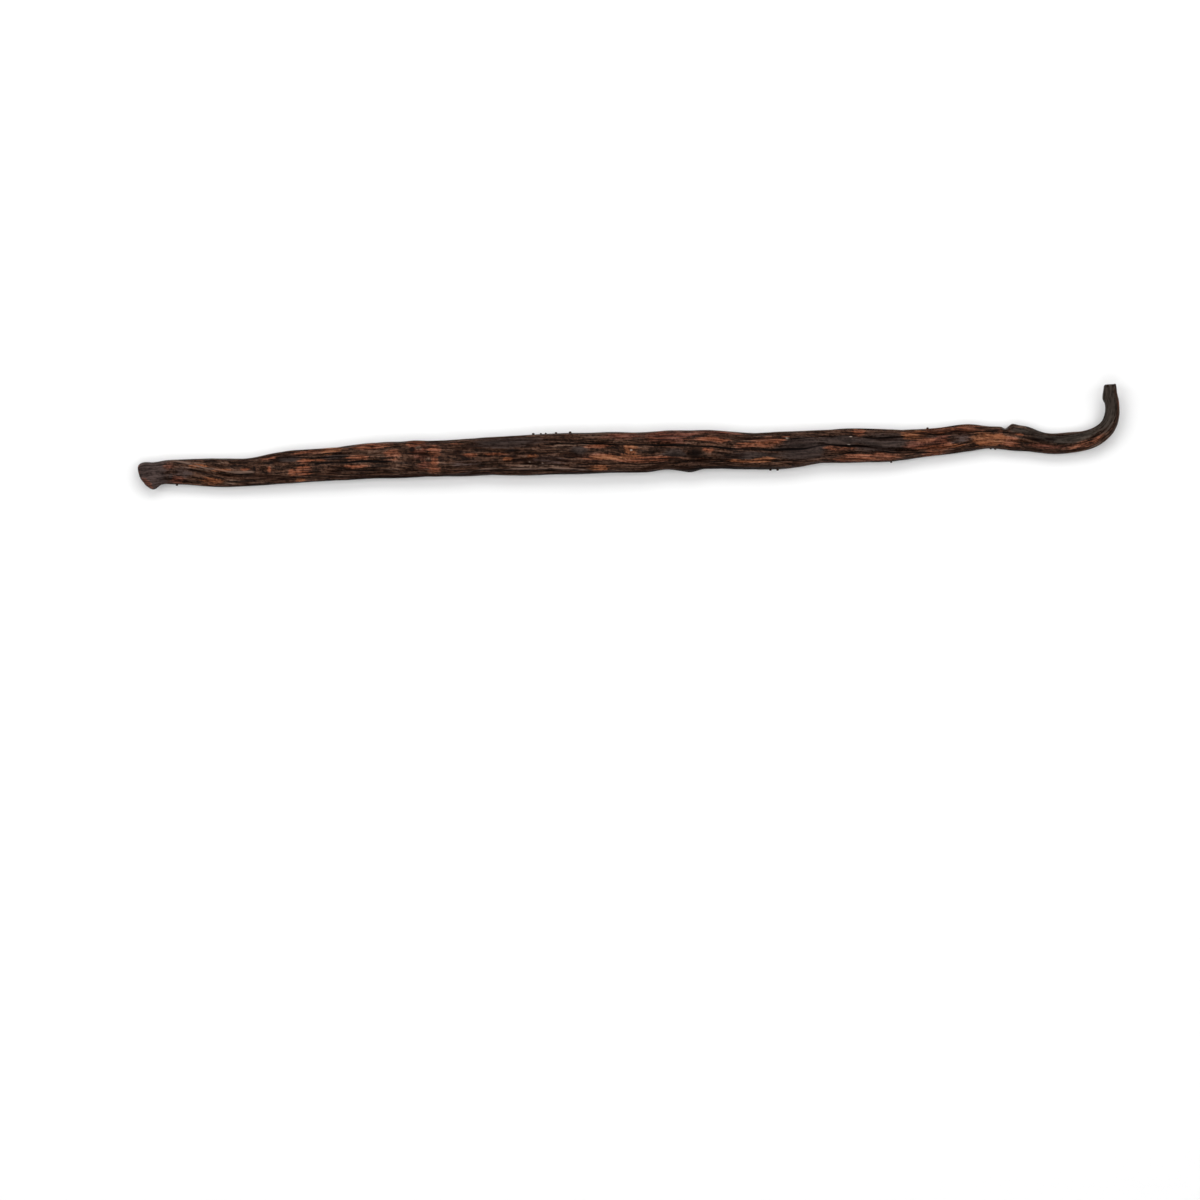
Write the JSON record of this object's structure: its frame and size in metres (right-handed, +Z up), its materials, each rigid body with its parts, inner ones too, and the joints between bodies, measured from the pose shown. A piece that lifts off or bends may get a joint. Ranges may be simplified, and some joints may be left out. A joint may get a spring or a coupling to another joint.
{
  "type": "vanilla pod",
  "caption": "Single cured vanilla pod, lying flat: long wrinkled flattened body, blunt blossom end, torn collar and a thin stem that hooks to one side.",
  "frame": {"origin": "middle of the underside of the pod's bounding box, on the surface that it lies on", "axes": "+X along the pod from the blossom end to the stem, +Y towards the side that the hook turns to, +Z up"},
  "size_m": [0.1814, 0.0194, 0.0047],
  "materials": {
    "pod_skin": "dark brown-black wrinkled skin with rust-brown patches and a dull oily sheen"
  },
  "bodies": {
    "root": {"pod": "pod_skin"}
  },
  "joints": []
}
